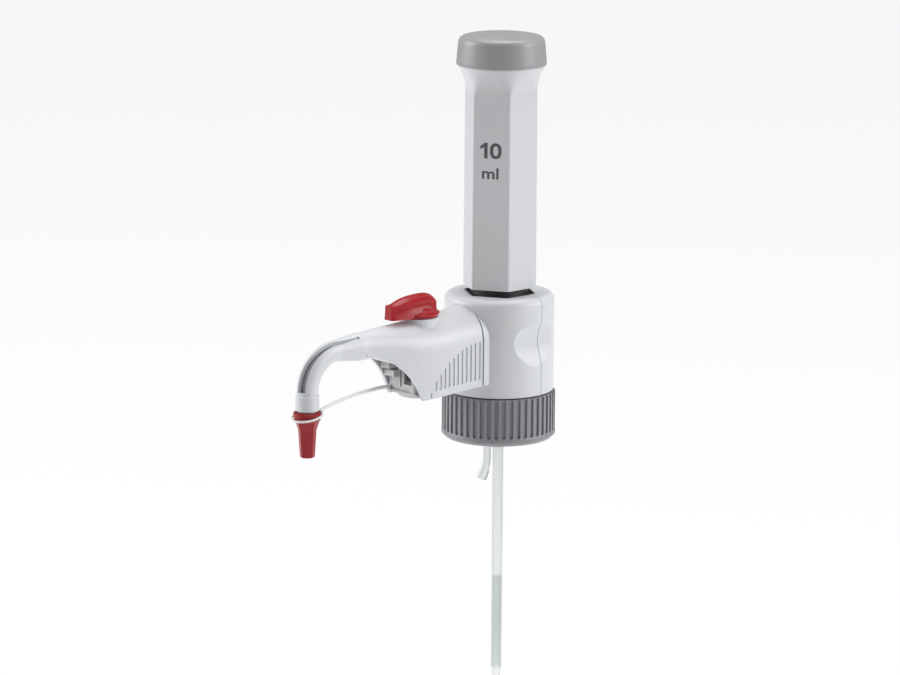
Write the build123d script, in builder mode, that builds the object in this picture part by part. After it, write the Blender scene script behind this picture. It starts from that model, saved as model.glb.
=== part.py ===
from build123d import *
import os
from math import asin, cos, degrees, pi, radians, sin, sqrt, tan

os.makedirs("parts", exist_ok=True)

# Bottle-top dispenser, fixed volume, for a glass bottle with the 45 mm thread.
# Millimetres. +Z is the pump's axis, the origin is the centre of the screw collar's open bottom face,
# and the discharge arm points along -X. "Reach" is a distance from the axis along the arm.

# Clearances
running_gap = 0.05
seat_gap = 0.1
free_gap = 0.3
fine_bevel = 0.3
edge_bevel = 0.6
seam_gap = 0.4

# Screw collar
collar_r = 26.9
collar_height = 22.4
collar_band_height = 3.7
collar_band_rise = 0.2
collar_edge = 0.8
collar_foot_bevel = 1.7
thread_clear_r = 22.9
rib_count = 48
rib_groove_width = 1.9
rib_groove_depth = 0.9

# Valve block
lip_height = 13.6
flange_thick = 3.0
flange_side_gap = 0.6
spigot_r = 14.5
spigot_length = 8.6
neck_r = 19.2
neck_side_gap = 0.4
block_body_r = 19.2
shoulder_height = 4.0
channel_r = 1.5

# Lower housing
housing_r = 25.9
housing_bottom_gap = 0.7
housing_height = 46.3
housing_wall = 2.4
housing_flat = 21.2
top_plate = 2.4
opening_corner_r = 17.6
opening_fillet = 3.0
guide_collar_r = 13.2
guide_rise = 4.6
top_edge_fillet = 3.3
parting_x = 3.2
parting_width = 0.3
grip_top_height = 34.9
grip_height = 21.0
grip_depth = 2.9
grip_ledge = ((0.85, 0.17), (1.0, 0.27), (1.0, 0.45))
grip_back = ((1.0, 0.65), (0.3, 0.82), (0.0, 1.0))

# Pump
stroke = 42.0
nominal_volume = 10000.0
glass_wall = 1.5
jacket_gap = 0.15
jacket_wall = 1.65
cylinder_length = 65.5
jacket_top_margin = 2.0
socket_depth = 7.5
floor_above_spout = 3.3
piston_length = 12.0
piston_side_gap = 0.3
seal_width = 3.0
seal_depth = 1.4
rod_r = 4.0
rod_thread_r = 3.0

# Lifting sleeve
sleeve_corner_r = 18.1
sleeve_top_corner_r = 17.8
sleeve_edge_fillet = 1.3
sleeve_gap_above_housing = 3.1
sleeve_straight = 92.1
sleeve_flare = 12.2
sleeve_mouth_r = 20.3
sleeve_mouth_steps = 4
sleeve_lip = 0.6
sleeve_wall = 2.0
deck_thick = 3.0
deck_recess_r = 13.2

# Top cap and calibration nut
cap_rim_r = 21.1
cap_rim_height = 1.6
cap_side_r = 20.35
cap_side_height = 10.0
cap_height = 14.4
cap_wall = 2.2
cap_edge_start = (0.3, 1.1)
cap_edge_end = (1.5, 0.4)
cap_spigot_depth = 5.8
nut_r = 7.0
nut_height = 4.6
nut_notches = 6
nut_notch_r = 1.4

# Filling side
fill_valve_r = 4.4
fill_valve_below = 11.0
fill_valve_above = 15.0
fill_seal_thick = 1.0
tube_socket = 6.0
valve_throat = 4.0
fill_seat_height = 1.0
tube_upper_r = 2.5
tube_upper_wall = 0.5
tube_upper_length = 115.0
tube_lower_wall = 0.55
tube_lower_top = -70.0
tube_lower_length = 130.0
fill_ball_r = 1.75
valve_port_r = 1.1
seat_drop = 0.8
ball_lift = 1.0
return_offset = 7.0
return_tube_r = 1.8
return_tube_wall = 0.6
return_straight = 15.0
return_bend_r = 12.0
return_bend_angle = 28.0
return_tip_r = 2.4
return_tip_length = 5.0

# Arm: shroud
arch_half_width = 15.6
arch_top = 66.6
arch_reach = 24.0
arch_bottom = 29.9
cover_wall = 1.8
cover_root_width = 15.0
cover_root_top = 66.4
shroud_root_bottom = 29.6
shroud_front_bottom = 27.3
front_arc_r = 35.0
front_arc_past_valve = 41.8
front_arc_z = 16.8
front_arc_end = 82.5
side_groove_count = 11
side_groove_pitch = 2.6
side_groove_width = 1.4
side_groove_depth = 0.5
side_groove_first = 26.3
side_groove_margin = 3.5
side_groove_drop = 15.3
latch_notch_width = 0.8
latch_notch_height = 3.2
floor_thick = 1.2
floor_side_gap = 0.25
floor_corner_back = 6.5
floor_nose = 1.0

# Sections of the shroud from the housing to the spout: distance past the valve, half width, top
cover_sections = (
    (-13.0, 14.1, 64.3),
    (11.0, 12.2, 62.8),
    (21.0, 9.9, 62.3),
    (29.0, 7.9, 61.95),
    (36.0, 6.6, 61.6),
    (40.0, 6.2, 61.3),
)

# Arm: spout
spout_z = 55.2
spout_root_r = 6.5
spout_root_past_valve = 21.0
spout_merge_past_valve = 39.0
spout_r = 5.0
bend_r = 17.5
nozzle_reach = 119.0
spout_end_z = 37.2
spout_bore_r = 3.0
slot_past_valve = 40.7
slot_start_half_width = 0.3
slot_start_side = 3.6
slot_half_width = 2.0
slot_end_side = 1.1
slot_end_margin = 1.3
slot_hole_r = 0.7
ferrule_r = 5.5
ferrule_height = 7.4
ferrule_bevel = 0.4
ferrule_spigot_r = 4.2
ferrule_spigot_length = 6.4
tube_r = 2.75
tube_tip_r = 1.9
tube_bore_r = 1.3
tip_z = 12.0

# Arm: recirculation valve
valve_reach = 51.0
column_r = 9.0
column_top = 64.3
valve_outer_r = 7.4
valve_bottom = 46.0
valve_top = 62.0
plug_r = 5.0
plug_bottom_wall = 1.5
stem_r = 3.0
stem_flat = 0.6
barrel_r = 4.6
barrel_half_length = 15.0
discharge_valve_r = 4.2
discharge_valve_depth = 7.0
discharge_ball_r = 1.5
discharge_seat_depth = 4.0
discharge_nut_r = 5.8
discharge_nut_length = 3.0
ball_side_gap = 0.35
tube_insert = 8.0
return_line_z = 37.0
return_line_r = 1.8
return_line_bend = 6.0
return_line_margin = 2.0

# Arm: bracket under the valve
bracket_wall_past_valve = 8.2
bracket_wall = 1.6
bracket_side = 9.9
bracket_shelf_side = 8.8
bracket_shelf_back = 7.4
bracket_foot_past_valve = 1.2
bracket_foot_side = 10.2
bracket_foot_out = 1.4
bracket_foot_thick = 1.1
bracket_window = (-7.0, -0.6, 33.5, 39.6)
bracket_slot = (1.0, 2.0, 32.0, 43.4)

# Blocks on the bracket's front: from side, to side, from height, to height, length
bracket_blocks = (
    (2.4, 8.4, 41.2, 45.4, 6.6),
    (2.6, 9.4, 36.8, 39.8, 3.4),
    (-8.4, 0.0, 40.8, 44.4, 3.0),
)
bracket_post_r = 1.5
bracket_post_side = 8.0

# Lever
disc_r = 9.7
disc_foot_r = 8.6
disc_rim_height = 1.7
disc_rim_edge = 0.4
disc_neck_r = 4.9
disc_neck_height = 7.0
disc_flare_r = 6.1
disc_flare_height = 3.4
grip_foot_gap = 0.3
stem_engagement = 3.0
grip_waist_share = 0.2
grip_waist_height = 0.42

# Sections of the grip from tail to nose: distance past the valve, half width at the foot,
# half width at the crown's edge, crown height and the crown's rise
grip_sections = (
    (-8.0, 4.2, 3.3, 71.6, 1.2),
    (-6.2, 5.8, 4.4, 73.9, 2.2),
    (-1.5, 7.6, 5.0, 75.1, 2.9),
    (5.0, 7.0, 4.7, 74.9, 2.6),
    (11.0, 5.2, 3.9, 74.0, 1.9),
    (19.2, 2.6, 2.1, 72.2, 1.0),
)

# Vent
vent_side = 7.2
vent_z = 41.0
vent_r = 4.4
vent_neck_r = 2.6
vent_neck_length = 9.0
vent_cap_length = 9.0
vent_insert = 4.0
vent_flutes = 12
vent_flute_r = 0.5

# Spout cap and strap
cap_seat_gap = 0.5
thread_gap = 0.1
cap_wall_at_tip = 2.0
cap_rim_outer_r = 6.45
cap_rim_low = 1.8
cap_waist_r = 6.1
cap_shoulder_z = 25.0
cap_shoulder_r = 5.6
cap_neck_z = 20.7
cap_neck_r = 4.2
cap_tip_z = 8.0
cap_tip_r = 3.4
cap_flats = 8
ring_inner_r = 6.8
ring_wall = 0.6
ring_height = 0.9
ring_z = 27.2
ring_tilt = 12.0
lug_length = 2.2
strap_height = 1.7
strap_thick = 1.0
strap_rise = 1.3
anchor_side = 9.0

# Heights and radii that follow from the values above
flange_top = lip_height + flange_thick
collar_ceiling = flange_top + free_gap
flange_r = thread_clear_r - flange_side_gap
lip_opening_r = neck_r + neck_side_gap
spigot_bottom = lip_height - spigot_length
housing_bottom = collar_height + housing_bottom_gap
housing_top = housing_bottom + housing_height
housing_inner_r = housing_r - housing_wall
plate_under = housing_top - top_plate
cylinder_floor = spout_z + floor_above_spout
block_top = cylinder_floor + socket_depth
bore_r = sqrt(nominal_volume / (pi * stroke))
glass_r = bore_r + glass_wall
cylinder_top = cylinder_floor + cylinder_length
jacket_inner_r = glass_r + jacket_gap
jacket_r = jacket_inner_r + jacket_wall
jacket_top = cylinder_top + jacket_top_margin
piston_bottom = cylinder_floor + free_gap
piston_top = piston_bottom + piston_length
sleeve_bottom = housing_top + sleeve_gap_above_housing
flare_bottom = sleeve_bottom + sleeve_straight
flare_top = flare_bottom + sleeve_flare
sleeve_top = flare_top + sleeve_lip
deck_top = flare_bottom + deck_thick
front_arc_reach = valve_reach + front_arc_past_valve
shroud_front_reach = front_arc_reach - sqrt(front_arc_r**2 - (shroud_front_bottom - front_arc_z) ** 2)
shroud_slope = (shroud_root_bottom - shroud_front_bottom) / (shroud_front_reach - arch_reach)
cover_tip_reach = valve_reach + cover_sections[-1][0]
spout_root_reach = valve_reach + spout_root_past_valve
spout_merge_reach = valve_reach + spout_merge_past_valve
barrel_start_reach = valve_reach - barrel_half_length
barrel_end_reach = valve_reach + barrel_half_length
bracket_face = valve_reach + bracket_wall_past_valve + bracket_wall
bracket_foot_front = bracket_face + bracket_foot_out
bracket_foot_back = valve_reach + bracket_foot_past_valve
bracket_foot_z = shroud_root_bottom + floor_thick - shroud_slope * (bracket_foot_back - arch_reach) + seat_gap
bracket_foot_top = bracket_foot_z + bracket_foot_thick
anchor_length = bracket_foot_out - 4 * seat_gap
nozzle_bend_reach = nozzle_reach - bend_r
vertical_top = spout_z - bend_r
lever_bottom = column_top + free_gap
stem_top = lever_bottom + stem_engagement


def side_hexagon(height, corner_r, corner_fillet):
    """Hexagon with rounded corners, two of them on the arm's line."""
    with BuildSketch(Plane.XY.offset(height)) as section:
        RegularPolygon(corner_r, 6)
        fillet(section.vertices(), corner_fillet)
    return section.sketch


def arch_section(reach, half_width, top, bottom):
    """Round-topped section across the arm, with upright sides."""
    spring = top - half_width
    with BuildSketch(Plane.YZ.offset(-reach)) as section:
        with BuildLine():
            Line((-half_width, spring), (-half_width, bottom))
            Line((-half_width, bottom), (half_width, bottom))
            Line((half_width, bottom), (half_width, spring))
            ThreePointArc((half_width, spring), (0, top), (-half_width, spring))
        make_face()
    return section.sketch


def cover_form(inset, rear_extra):
    """The shroud's form, drawn in on every side by the inset and open towards the housing."""
    root = arch_reach + seam_gap - rear_extra
    sections = [arch_section(root, cover_root_width - inset, cover_root_top - inset, 0)]
    for past_valve, half_width, top in cover_sections:
        sections.append(arch_section(valve_reach + past_valve, half_width - inset, top - inset, 0))
    loft(sections)


def spout_bar(start_reach, root_r, end_r, end_z, mode=Mode.ADD):
    """Round bar along the spout: a tapering run, the bend and the upright end."""
    with BuildSketch(Plane.XZ) as run:
        with BuildLine():
            Polyline(
                (-start_reach, spout_z),
                (-start_reach, spout_z + root_r),
                (-spout_merge_reach, spout_z + root_r),
                (-nozzle_bend_reach, spout_z + end_r),
                (-nozzle_bend_reach, spout_z),
                close=True,
            )
        make_face()
    revolve(run.sketch, axis=Axis((0, 0, spout_z), (1, 0, 0)), mode=mode)
    with BuildSketch(Plane.YZ.offset(-nozzle_bend_reach)) as bend_start:
        with Locations((0, spout_z)):
            Circle(end_r)
    bend_axis = Axis((-nozzle_bend_reach, 0, vertical_top), (0, -1, 0))
    revolve(bend_start.sketch, axis=bend_axis, revolution_arc=90, mode=mode)
    with BuildSketch(Plane.XY.offset(end_z)) as end:
        with Locations((-nozzle_reach, 0)):
            Circle(end_r)
    extrude(end.sketch, amount=vertical_top - end_z, mode=mode)


# Screw collar: a turned body with a lip over the block's flange, and ribs round its side
with BuildPart() as rib_groove:
    with BuildSketch(Plane.YZ.offset(collar_r + 1)):
        foot = collar_band_height + rib_groove_width / 2
        with Locations((0, foot)):
            Circle(rib_groove_width / 2)
        with Locations((0, foot)):
            Rectangle(rib_groove_width, collar_height, align=(Align.CENTER, Align.MIN))
    extrude(amount=-1 - rib_groove_depth)

with BuildPart() as thread_collar:
    with BuildSketch(Plane.XZ):
        with BuildLine():
            Polyline(
                (thread_clear_r, 0),
                (collar_r + collar_band_rise, 0),
                (collar_r + collar_band_rise, collar_band_height - collar_edge),
                (collar_r, collar_band_height),
                (collar_r, collar_height),
                (lip_opening_r, collar_height),
                (lip_opening_r, collar_ceiling),
                (thread_clear_r, collar_ceiling),
                close=True,
            )
        make_face()
    revolve(axis=Axis.Z)
    outer_rims = thread_collar.edges().filter_by(GeomType.CIRCLE).group_by(SortBy.RADIUS)
    chamfer(outer_rims[-1].sort_by(Axis.Z)[0], collar_foot_bevel)
    chamfer(outer_rims[-2].sort_by(Axis.Z)[-1], collar_edge)
    with PolarLocations(0, rib_count):
        add(rib_groove.part, mode=Mode.SUBTRACT)
thread_collar.part.label = "thread_collar"

# Valve block: spigot in the bottle's mouth, flange on its lip, neck through the collar, body above
with BuildPart() as valve_block:
    with BuildSketch(Plane.XZ):
        with BuildLine():
            Polyline(
                (0, spigot_bottom),
                (spigot_r, spigot_bottom),
                (spigot_r, lip_height),
                (flange_r, lip_height),
                (flange_r, flange_top),
                (neck_r, flange_top),
                (neck_r, housing_bottom + seat_gap),
                (housing_flat - seat_gap, housing_bottom + seat_gap),
                (housing_flat - seat_gap, housing_bottom + seat_gap + shoulder_height),
                (block_body_r, housing_bottom + seat_gap + shoulder_height),
                (block_body_r, block_top),
                (0, block_top),
                close=True,
            )
        make_face()
    revolve(axis=Axis.Z)
    # Socket of the glass cylinder and the channel under it
    with BuildSketch(Plane.XY.offset(cylinder_floor)):
        Circle(glass_r + running_gap)
    extrude(amount=socket_depth, mode=Mode.SUBTRACT)
    with BuildSketch(Plane.XY.offset(spigot_bottom)):
        Circle(channel_r)
    extrude(amount=cylinder_floor - spigot_bottom, mode=Mode.SUBTRACT)
    # Bore of the filling valve
    with BuildSketch(Plane.XY.offset(spigot_bottom)):
        Circle(fill_valve_r + running_gap)
    extrude(amount=fill_valve_above + fill_seal_thick, mode=Mode.SUBTRACT)
    # Bore of the discharge valve and the channel that feeds it
    with BuildSketch(Plane.YZ.offset(-block_body_r)):
        with Locations((0, spout_z)):
            Circle(discharge_valve_r + running_gap)
    extrude(amount=discharge_valve_depth, mode=Mode.SUBTRACT)
    with BuildSketch(Plane.YZ.offset(-block_body_r)):
        with Locations((0, spout_z)):
            Circle(channel_r)
    extrude(amount=block_body_r, mode=Mode.SUBTRACT)
    # Return channel: in from the arm, then down to the return tube
    with BuildSketch(Plane.YZ.offset(-block_body_r)):
        with Locations((0, return_line_z)):
            Circle(return_line_r + running_gap)
    extrude(amount=block_body_r - return_offset, mode=Mode.SUBTRACT)
    with BuildSketch(Plane.XY.offset(spigot_bottom)):
        with Locations((-return_offset, 0)):
            Circle(return_tube_r + running_gap)
    extrude(amount=return_line_z - spigot_bottom, mode=Mode.SUBTRACT)
    # Air vent: from the side of the block down into the bottle
    with BuildSketch(Plane.YZ.offset(-block_body_r)):
        with Locations((vent_side, vent_z)):
            Circle(vent_neck_r + running_gap)
    extrude(amount=block_body_r - return_offset, mode=Mode.SUBTRACT)
    with BuildSketch(Plane.XY.offset(spigot_bottom)):
        with Locations((-return_offset - channel_r, vent_side)):
            Circle(channel_r)
    extrude(amount=vent_z - spigot_bottom, mode=Mode.SUBTRACT)
valve_block.part.label = "valve_block"

def grip_point(inward, down):
    """Point of a finger hollow's outline, given as shares of its depth and of its height from its top."""
    return (housing_r - inward * grip_depth, grip_top - down * grip_height)


# Lower housing, still whole: round wall, hexagonal top opening, two finger hollows and the arm's arch.
# A finger hollow is a ledge under the fingertips that runs out to the round wall below.
with BuildPart() as grip_hollow:
    grip_top = housing_bottom + grip_top_height
    grip_foot = grip_top - grip_height
    with BuildSketch(Plane.YZ):
        with BuildLine():
            ledge = Bezier((housing_r, grip_top), *[grip_point(*shares) for shares in grip_ledge])
            back = Bezier(ledge @ 1, *[grip_point(*shares) for shares in grip_back])
            Polyline(back @ 1, (housing_r + 1, grip_foot), (housing_r + 1, grip_top), ledge @ 0)
        make_face()
    extrude(amount=housing_r, both=True)

with BuildPart() as housing:
    with BuildSketch(Plane.XY.offset(housing_bottom)):
        Circle(housing_r)
    extrude(amount=housing_height)
    fillet(housing.edges().group_by(Axis.Z)[-1], top_edge_fillet)
    extrude(arch_section(0, arch_half_width, arch_top, arch_bottom), amount=-arch_reach)
    with BuildSketch(Plane.XY.offset(housing_bottom)):
        Circle(housing_inner_r)
        Rectangle(2 * housing_r, 2 * housing_flat, mode=Mode.INTERSECT)
    extrude(amount=plate_under - housing_bottom, mode=Mode.SUBTRACT)
    # The arch is hollow and opens into the housing
    inner_half_width = arch_half_width - housing_wall
    arch_inside = arch_section(0, inner_half_width, arch_top - housing_wall, arch_bottom + housing_wall)
    extrude(arch_inside, amount=-housing_r - 1, mode=Mode.SUBTRACT)
    extrude(side_hexagon(plate_under, opening_corner_r, opening_fillet), amount=top_plate, mode=Mode.SUBTRACT)
    add(grip_hollow.part, mode=Mode.SUBTRACT)
    add(mirror(grip_hollow.part, about=Plane.XZ, mode=Mode.PRIVATE), mode=Mode.SUBTRACT)

with BuildPart() as housing_front_shell:
    add(housing.part)
    split(bisect_by=Plane.YZ.offset(parting_x - parting_width / 2), keep=Keep.BOTTOM)
housing_front_shell.part.label = "housing_front_shell"

with BuildPart() as housing_rear_shell:
    add(housing.part)
    split(bisect_by=Plane.YZ.offset(parting_x + parting_width / 2), keep=Keep.TOP)
housing_rear_shell.part.label = "housing_rear_shell"

# Dark guide ring: flange under the housing's top plate, hexagon in its opening, and a collar round
# the jacket that runs inside the sleeve
with BuildPart() as guide_ring:
    with BuildSketch(Plane.XY.offset(block_top)):
        Circle(block_body_r)
    extrude(amount=plate_under - seat_gap - block_top)
    opening_hexagon = side_hexagon(block_top, opening_corner_r - free_gap, opening_fillet)
    extrude(opening_hexagon, amount=plate_under + top_plate / 2 - block_top)
    with BuildSketch(Plane.XY.offset(block_top)):
        Circle(guide_collar_r)
    extrude(amount=housing_top + guide_rise - block_top)
    with BuildSketch(Plane.XY.offset(block_top)):
        Circle(jacket_r + seat_gap)
    extrude(amount=housing_top + guide_rise - block_top, mode=Mode.SUBTRACT)
guide_ring.part.label = "guide_ring"

# Glass cylinder and its clear jacket
with BuildPart() as glass_cylinder:
    with BuildSketch(Plane.XY.offset(cylinder_floor)):
        Circle(glass_r)
        Circle(bore_r, mode=Mode.SUBTRACT)
    extrude(amount=cylinder_length)
    chamfer(glass_cylinder.edges().group_by(Axis.Z)[-1].sort_by(SortBy.RADIUS)[0], edge_bevel)
glass_cylinder.part.label = "glass_cylinder"

with BuildPart() as cylinder_jacket:
    with BuildSketch(Plane.XY.offset(block_top)):
        Circle(jacket_r)
        Circle(jacket_inner_r, mode=Mode.SUBTRACT)
    extrude(amount=jacket_top - block_top)
    fillet(cylinder_jacket.edges().group_by(Axis.Z)[-1].sort_by(SortBy.RADIUS)[-1], edge_bevel)
cylinder_jacket.part.label = "cylinder_jacket"

# Piston: rod with a threaded end, head with a groove, and the sealing ring in the groove
with BuildPart() as piston_rod:
    with BuildSketch(Plane.XY.offset(piston_top)):
        Circle(rod_r)
    extrude(amount=flare_bottom - piston_top)
    with BuildSketch(Plane.XY.offset(flare_bottom)):
        Circle(rod_thread_r)
    extrude(amount=deck_thick + nut_height + free_gap)
    chamfer(piston_rod.edges().group_by(Axis.Z)[-1], edge_bevel)
piston_rod.part.label = "piston_rod"

with BuildPart() as piston_head:
    with BuildSketch(Plane.XY.offset(piston_bottom)):
        Circle(bore_r - piston_side_gap)
    extrude(amount=piston_length)
    chamfer(piston_head.edges().group_by(Axis.Z)[0], edge_bevel)
    with BuildSketch(Plane.XY.offset(piston_bottom + piston_length / 3)):
        Circle(bore_r)
        Circle(bore_r - piston_side_gap - seal_depth, mode=Mode.SUBTRACT)
    extrude(amount=seal_width, mode=Mode.SUBTRACT)
piston_head.part.label = "piston_head"

with BuildPart() as piston_seal:
    with BuildSketch(Plane.XY.offset(piston_bottom + piston_length / 3)):
        Circle(bore_r - running_gap)
        Circle(bore_r - piston_side_gap - seal_depth, mode=Mode.SUBTRACT)
    extrude(amount=seal_width)
piston_seal.part.label = "piston_seal"

# Lifting sleeve: slightly tapered hexagon whose faces fade into a round mouth, with a deck for the rod
with BuildPart() as lift_sleeve:
    foot = side_hexagon(sleeve_bottom, sleeve_corner_r, sleeve_edge_fillet)
    shoulder = side_hexagon(flare_bottom, sleeve_top_corner_r, sleeve_edge_fillet)
    loft([foot, shoulder])
    # The faces curve outwards while the corners are rounded until the hexagon is all but a circle
    flare = [shoulder]
    for step in range(1, sleeve_mouth_steps + 1):
        share = step / sleeve_mouth_steps
        shoulder_r = sleeve_top_corner_r * cos(radians(30))
        face_r = shoulder_r + (sleeve_mouth_r - shoulder_r) * share**2
        rounding = sleeve_edge_fillet + (face_r - free_gap - sleeve_edge_fillet) * share
        section_z = flare_bottom + sleeve_flare * share
        flare.append(side_hexagon(section_z, face_r / cos(radians(30)), rounding))
    loft(flare)
    extrude(flare[-1], amount=sleeve_lip)
    inner_step = sleeve_wall / cos(radians(30))
    inner_foot = side_hexagon(sleeve_bottom, sleeve_corner_r - inner_step, sleeve_edge_fillet)
    inner_shoulder = side_hexagon(flare_bottom, sleeve_top_corner_r - inner_step, sleeve_edge_fillet)
    loft([inner_foot, inner_shoulder], mode=Mode.SUBTRACT)
    # Conical mouth above the deck, for the cap
    with BuildSketch(Plane.XY.offset(deck_top)):
        Circle(deck_recess_r)
    with BuildSketch(Plane.XY.offset(sleeve_top)):
        Circle(sleeve_mouth_r - sleeve_wall)
    loft(mode=Mode.SUBTRACT)
    with BuildSketch(Plane.XY.offset(flare_bottom)):
        Circle(rod_thread_r + seat_gap)
    extrude(amount=deck_thick, mode=Mode.SUBTRACT)
lift_sleeve.part.label = "lift_sleeve"

# Calibration nut on the rod's threaded end
with BuildPart() as calibration_nut:
    with BuildSketch(Plane.XY.offset(deck_top + seat_gap)):
        Circle(nut_r)
        with PolarLocations(nut_r, nut_notches):
            Circle(nut_notch_r, mode=Mode.SUBTRACT)
        Circle(rod_thread_r + running_gap, mode=Mode.SUBTRACT)
    extrude(amount=nut_height)
    chamfer(calibration_nut.edges().group_by(Axis.Z)[-1], fine_bevel)
calibration_nut.part.label = "calibration_nut"

# Top cap: tapered skirt, rounded edge, domed top, and a conical spigot in the sleeve's mouth
with BuildPart() as top_cap:
    cap_bottom = sleeve_top + seat_gap
    cap_side_top = cap_bottom + cap_side_height
    cap_top = cap_bottom + cap_height
    spigot_taper = (sleeve_mouth_r - sleeve_wall - deck_recess_r) / (sleeve_top - deck_top)
    spigot_top_r = sleeve_mouth_r - sleeve_wall - free_gap
    spigot_low_r = spigot_top_r - cap_spigot_depth * spigot_taper
    with BuildSketch(Plane.XZ):
        with BuildLine():
            skirt = Polyline(
                (0, cap_top - cap_wall),
                (spigot_low_r - cap_wall, cap_top - cap_wall - cap_edge_start[1]),
                (spigot_low_r - cap_wall, cap_bottom - cap_spigot_depth),
                (spigot_low_r, cap_bottom - cap_spigot_depth),
                (spigot_top_r, cap_bottom),
                (cap_rim_r, cap_bottom),
                (cap_rim_r, cap_bottom + cap_rim_height),
                (cap_side_r, cap_side_top),
            )
            dome = Bezier(
                skirt @ 1,
                (cap_side_r - cap_edge_start[0], cap_top - cap_edge_start[1]),
                (cap_side_r - cap_edge_end[0], cap_top - cap_edge_end[1]),
                (cap_side_r / 2, cap_top),
                (0, cap_top),
            )
            Line(dome @ 1, skirt @ 0)
        make_face()
    revolve(axis=Axis.Z)
top_cap.part.label = "top_cap"

# Filling valve: body with a tube socket below, ball seat and ball chamber above
with BuildPart() as fill_valve_body:
    valve_foot = spigot_bottom - fill_valve_below
    valve_head = spigot_bottom + fill_valve_above
    seat_z = spigot_bottom + fill_seat_height
    with BuildSketch(Plane.XY.offset(valve_foot)):
        Circle(fill_valve_r)
    extrude(amount=valve_head - valve_foot)
    chamfer(fill_valve_body.edges().group_by(Axis.Z)[0], edge_bevel)
    with BuildSketch(Plane.XY.offset(valve_foot)):
        Circle(tube_upper_r + running_gap)
    extrude(amount=tube_socket, mode=Mode.SUBTRACT)
    with BuildSketch(Plane.XY.offset(valve_foot)):
        Circle(tube_upper_r - tube_upper_wall)
    extrude(amount=tube_socket + valve_throat, mode=Mode.SUBTRACT)
    with BuildSketch(Plane.XY.offset(valve_foot)):
        Circle(valve_port_r)
    extrude(amount=valve_head - valve_foot, mode=Mode.SUBTRACT)
    # The ball rests where it touches the seat's cone
    chamber_r = fill_ball_r + ball_side_gap
    seat_slope = seat_drop / (chamber_r - valve_port_r)
    ball_reach = (fill_ball_r + running_gap) * sqrt(1 + seat_slope**2)
    fill_ball_z = seat_z - seat_drop - seat_slope * valve_port_r + ball_reach
    with BuildSketch(Plane.XY.offset(seat_z)):
        Circle(chamber_r)
    extrude(amount=fill_ball_z - seat_z + fill_ball_r + ball_lift + seat_gap, mode=Mode.SUBTRACT)
    with BuildSketch(Plane.XY.offset(seat_z - seat_drop)):
        Circle(valve_port_r)
    with BuildSketch(Plane.XY.offset(seat_z)):
        Circle(chamber_r)
    loft(mode=Mode.SUBTRACT)
fill_valve_body.part.label = "fill_valve_body"

with BuildPart() as fill_valve_seal:
    with BuildSketch(Plane.XY.offset(valve_head)):
        Circle(fill_valve_r - seat_gap)
        Circle(channel_r, mode=Mode.SUBTRACT)
    extrude(amount=fill_seal_thick)
fill_valve_seal.part.label = "fill_valve_seal"

with BuildPart() as fill_ball:
    with Locations((0, 0, fill_ball_z)):
        Sphere(fill_ball_r)
fill_ball.part.label = "fill_ball"

# Filling tube in two lengths, one inside the other, the lower one cut slanting at its foot
with BuildPart() as fill_tube_upper:
    tube_top = valve_foot + tube_socket
    with BuildSketch(Plane.XY.offset(tube_top)):
        Circle(tube_upper_r)
        Circle(tube_upper_r - tube_upper_wall, mode=Mode.SUBTRACT)
    extrude(amount=-tube_upper_length)
fill_tube_upper.part.label = "fill_tube_upper"

with BuildPart() as fill_tube_lower:
    tube_lower_r = tube_upper_r - tube_upper_wall - running_gap
    with BuildSketch(Plane.XY.offset(tube_lower_top)):
        Circle(tube_lower_r)
        Circle(tube_lower_r - tube_lower_wall, mode=Mode.SUBTRACT)
    extrude(amount=-tube_lower_length)
    slant = Plane((0, 0, tube_lower_top - tube_lower_length + tube_lower_r), z_dir=(-1, 0, -1))
    split(bisect_by=slant, keep=Keep.BOTTOM)
fill_tube_lower.part.label = "fill_tube_lower"

# Return tube: straight down beside the filling tube, then a short splayed tip
with BuildPart() as return_tube:
    return_top = lip_height
    return_turn_z = spigot_bottom - return_straight
    with BuildSketch(Plane.XY.offset(return_turn_z)):
        with Locations((-return_offset, 0)):
            Circle(return_tube_r)
            Circle(return_tube_r - return_tube_wall, mode=Mode.SUBTRACT)
    extrude(amount=return_top - return_turn_z)
    with BuildSketch(Plane.XY.offset(return_turn_z)):
        with Locations((-return_offset, 0)):
            Circle(return_tube_r)
            Circle(return_tube_r - return_tube_wall, mode=Mode.SUBTRACT)
    bend_axis = Axis((-return_offset - return_bend_r, 0, return_turn_z), (0, 1, 0))
    revolve(axis=bend_axis, revolution_arc=return_bend_angle)
    tip_face = return_tube.faces().filter_by(GeomType.PLANE).sort_by(Axis.Z)[0]
    tip_plane = Plane(tip_face)
    with BuildSketch(tip_plane):
        Circle(return_tip_r)
        Circle(return_tube_r - return_tube_wall, mode=Mode.SUBTRACT)
    extrude(amount=return_tip_length)
return_tube.part.label = "return_tube"

# Discharge valve: barrel in the block's side with a ball chamber
with BuildPart() as discharge_valve_body:
    barrel_start = block_body_r - discharge_valve_depth
    discharge_seat = barrel_start + discharge_seat_depth
    with BuildSketch(Plane.YZ.offset(-barrel_start)):
        with Locations((0, spout_z)):
            Circle(discharge_valve_r)
            Circle(valve_port_r, mode=Mode.SUBTRACT)
    extrude(amount=-(barrel_start_reach - barrel_start))
    with BuildSketch(Plane.YZ.offset(-discharge_seat)):
        with Locations((0, spout_z)):
            Circle(discharge_ball_r + ball_side_gap)
    ball_offset = sqrt((discharge_ball_r + running_gap) ** 2 - valve_port_r**2)
    extrude(amount=-(ball_offset + discharge_ball_r + ball_lift + seat_gap), mode=Mode.SUBTRACT)
    with BuildSketch(Plane.YZ.offset(-block_body_r - seat_gap)):
        with Locations((0, spout_z)):
            RegularPolygon(discharge_nut_r, 6)
            Circle(discharge_valve_r, mode=Mode.SUBTRACT)
    extrude(amount=-discharge_nut_length)
discharge_valve_body.part.label = "discharge_valve_body"

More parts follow.
